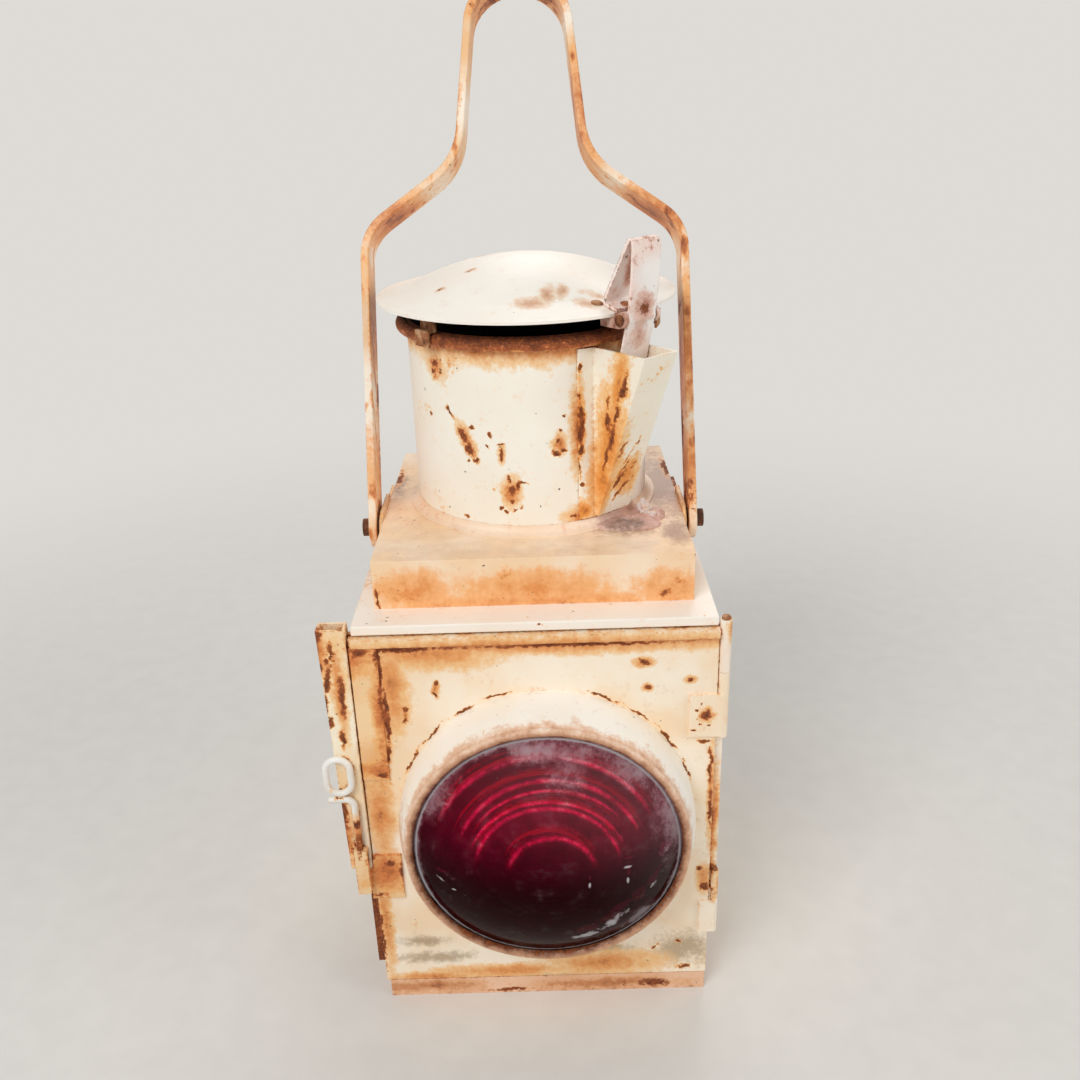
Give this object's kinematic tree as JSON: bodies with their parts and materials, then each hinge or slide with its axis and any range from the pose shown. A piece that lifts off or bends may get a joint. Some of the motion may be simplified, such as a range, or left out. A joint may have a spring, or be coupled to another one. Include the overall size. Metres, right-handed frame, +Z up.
{
  "type": "railway tail lamp",
  "caption": "Square sheet-steel oil lamp with a large ruby lens in its hinged front, a round chimney with a sprung cap and a tall carrying handle.",
  "frame": {"origin": "centre of the underside of the base, on the surface that the lamp stands on", "axes": "+Z up; the ruby lens looks along -Y; +X is to the right of someone who faces the lens"},
  "size_m": [0.1909, 0.2358, 0.4926],
  "materials": {
    "cream_enamel_rusted": "gloss paint, worn, with rust streaks",
    "rust_stained_paint": "paint stained by rust",
    "bare_rusted_steel": "rusted",
    "worn_white_paint": "worn paint",
    "tinned_steel": "dull tinplate",
    "aged_brass": "dull, oily",
    "blued_steel": "oiled",
    "ruby_glass": "polished, dusty at the top",
    "grey_putty": "matt",
    "charred_cotton": "woven, charred at the top"
  },
  "bodies": {
    "case": {"base_pan": "cream_enamel_rusted", "case_shell": "cream_enamel_rusted", "front_frame": "rust_stained_paint", "lid": "cream_enamel_rusted", "upper_box": "rust_stained_paint", "chimney": "cream_enamel_rusted", "chimney_collar": "rust_stained_paint", "catch_pocket": "cream_enamel_rusted", "cap_supports": "bare_rusted_steel", "cap_hinge_fixed_leaf": "bare_rusted_steel", "cap_hinge_pin": "bare_rusted_steel", "side_channel": "cream_enamel_rusted", "rear_socket": "cream_enamel_rusted", "handle_brackets": "rust_stained_paint", "handle_bolts": "bare_rusted_steel", "case_hinge_leaf": "cream_enamel_rusted", "door_hinge_pin": "bare_rusted_steel", "case_rivets": "bare_rusted_steel", "vessel_guides": "tinned_steel", "oil_vessel": "tinned_steel", "filler_cap": "aged_brass", "burner_collar": "aged_brass", "burner_gallery": "aged_brass", "wick_tube": "aged_brass", "burner_cone": "aged_brass"},
    "door": {"door_panel": "cream_enamel_rusted", "door_edge_plate": "rust_stained_paint", "door_keeper_plate": "rust_stained_paint", "door_hinge_straps": "cream_enamel_rusted", "lens": "ruby_glass", "lens_bezel": "cream_enamel_rusted", "lens_seal": "grey_putty", "lens_retainer": "bare_rusted_steel", "retainer_screws": "bare_rusted_steel", "latch_hook": "worn_white_paint"},
    "door_ring": {"latch_ring": "worn_white_paint"},
    "carrying_handle": {"handle": "cream_enamel_rusted"},
    "top_cap": {"cap": "cream_enamel_rusted", "cap_hinge_moving_leaf": "bare_rusted_steel", "catch_ears": "bare_rusted_steel", "catch_pin": "bare_rusted_steel", "cap_rivets": "bare_rusted_steel", "catch_spring": "bare_rusted_steel"},
    "cap_catch": {"catch_lever": "worn_white_paint"},
    "winder": {"winder_shaft": "blued_steel", "winder_wheels": "blued_steel", "winder_knob": "aged_brass"},
    "wick_strip": {"wick": "charred_cotton"}
  },
  "joints": [
    {"name": "door_swing", "type": "hinge", "parent": "case", "child": "door", "pos_m": [0.0858, -0.0833, 0.11], "axis": [0, 0, 1], "range_deg": [0, 115]},
    {"name": "ring_turn", "type": "hinge", "parent": "case", "child": "door_ring", "pos_m": [-0.0892, -0.0891, 0.145], "axis": [0, 1, 0], "range_deg": [0, 95]},
    {"name": "handle_swing", "type": "hinge", "parent": "case", "child": "carrying_handle", "pos_m": [0, -0.013, 0.24], "axis": [1, 0, 0], "range_deg": [-62, 110]},
    {"name": "cap_swing", "type": "hinge", "parent": "case", "child": "top_cap", "pos_m": [-0.04403, 0.06947, 0.343], "axis": [-0.766, -0.6428, 0], "range_deg": [0, 18]},
    {"name": "catch_press", "type": "hinge", "parent": "top_cap", "child": "cap_catch", "pos_m": [0.04904, -0.04145, 0.3475], "axis": [-0.766, -0.6428, 0], "range_deg": [0, 10], "stiffness_Nm_per_rad": 0.35, "springref_deg": -5.73, "deforming": ["catch_spring"]},
    {"name": "winder_turn", "type": "hinge", "parent": "case", "child": "winder", "pos_m": [0, 0.02075, 0.0655], "axis": [1, 0, 0], "range_deg": [-110, 55]},
    {"name": "wick_rise", "type": "slide", "parent": "case", "child": "wick_strip", "axis": [0, 0, 1], "range_m": [-0.0028, 0.0055]}
  ],
  "couplings": [
    {"joint": "wick_rise", "follows": "winder_turn", "m_per_rad": -0.0028}
  ]
}
